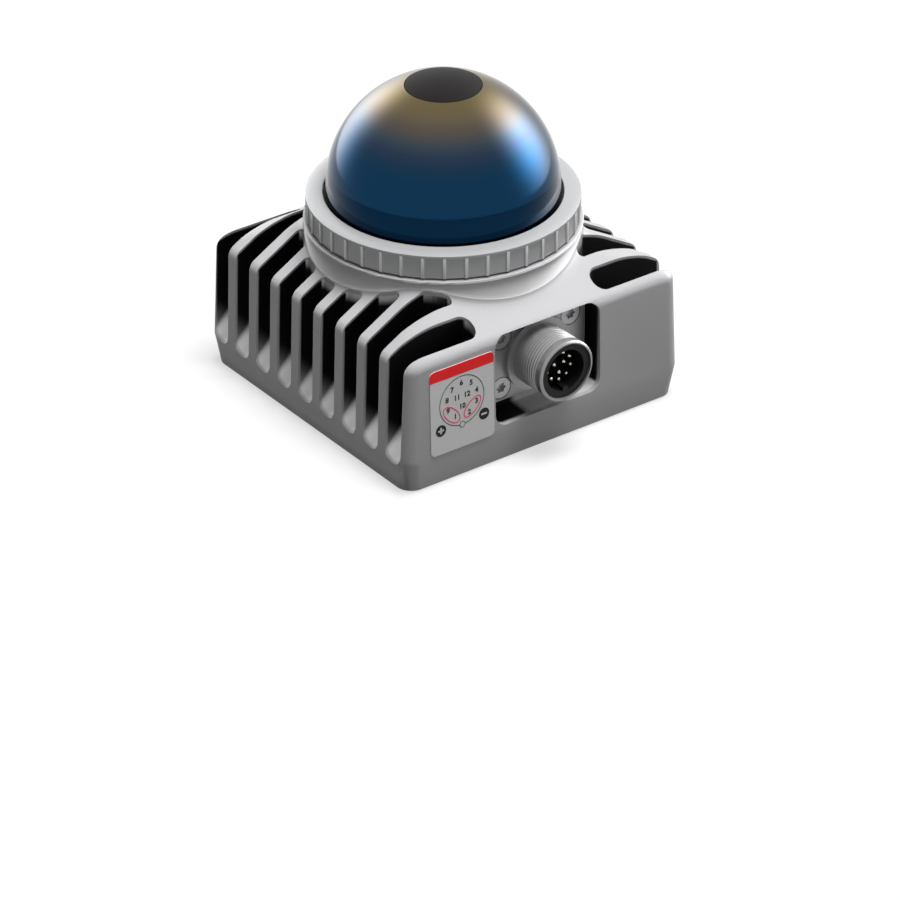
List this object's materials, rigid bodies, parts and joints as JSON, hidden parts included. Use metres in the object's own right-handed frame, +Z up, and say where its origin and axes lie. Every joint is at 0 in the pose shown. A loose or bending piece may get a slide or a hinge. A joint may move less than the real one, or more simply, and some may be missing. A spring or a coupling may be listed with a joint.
{
  "type": "lidar sensor",
  "caption": "Square finned lidar sensor with a dark dome, a scalloped ring, a round threaded inlet and a turning optical head inside.",
  "frame": {"origin": "middle of the flat underside", "axes": "+Z up through the dome, -Y out of the threaded inlet, +X to the right seen from the front"},
  "size_m": [0.063, 0.0683, 0.0617],
  "materials": {
    "cast_aluminium": "satin grey, fine cast grain",
    "turned_aluminium": "turned, satin",
    "plate_aluminium": "milled, plain",
    "satin_nickel": "satin nickel plating",
    "steel_screw": "plain steel",
    "bearing_steel": "ground",
    "stator_steel": "stacked sheet",
    "black_rubber": "matt black",
    "black_insulator": "moulded black",
    "black_frame": "matt black",
    "black_chip": "moulded black",
    "gold_contact": "gold plated",
    "plain_brass": "turned",
    "copper_wire": "enamelled copper",
    "green_board": "solder mask",
    "grey_label": "printed film",
    "dark_dome": "glossy, dark blue to brown",
    "dome_disc": "matt dark grey",
    "soft_pad": "soft grey",
    "encoder_film": "film",
    "magnet": "plated magnet",
    "mirror_face": "coated",
    "lens_glass": "coated lens"
  },
  "bodies": {
    "base": {"base_plate": "plate_aluminium", "base_screws": "steel_screw", "base_seal": "black_rubber", "board_posts": "plain_brass", "board_screws": "steel_screw", "board_spacers": "plain_brass", "connector_board": "green_board", "connector_gasket": "black_rubber", "connector_insert": "black_insulator", "connector_pins": "gold_contact", "connector_screws": "steel_screw", "connector_shell": "satin_nickel", "dome": "dark_dome", "dome_cap": "dome_disc", "dome_gasket": "black_rubber", "dome_ring": "turned_aluminium", "dome_seal": "black_rubber", "encoder_sensor": "black_chip", "fixed_power_coil": "copper_wire", "heat_pad": "soft_pad", "housing": "cast_aluminium", "lower_bearing": "bearing_steel", "main_board": "green_board", "motor_mount": "plate_aluminium", "motor_mount_screws": "steel_screw", "pinout_label": "grey_label", "power_board": "green_board", "processor": "black_chip", "stator_coils": "copper_wire", "stator_core": "stator_steel", "upper_bearing": "bearing_steel"},
    "scan_head": {"head_shaft": "bearing_steel", "rotor_bell": "plate_aluminium", "magnet_ring": "magnet", "moving_power_coil": "copper_wire", "encoder_disc": "encoder_film", "head_frame": "black_frame", "head_screws": "steel_screw", "mirror_bearings": "bearing_steel", "mirror_motor_stator": "copper_wire", "laser_barrel": "plain_brass", "laser_lens": "lens_glass", "receiver_barrel": "black_frame", "receiver_lens": "lens_glass", "optics_board": "green_board", "counterweight": "plain_brass"},
    "mirror": {"scan_mirror": "mirror_face", "mirror_shaft": "bearing_steel", "mirror_motor_rotor": "magnet"}
  },
  "joints": [
    {"name": "scan_head_spin", "type": "hinge", "parent": "base", "child": "scan_head", "pos_m": [0, 0, 0.037], "axis": [0, 0, 1], "continuous": true},
    {"name": "mirror_spin", "type": "hinge", "parent": "scan_head", "child": "mirror", "pos_m": [0, 0, 0.0484], "axis": [1, 0, 0], "continuous": true}
  ]
}
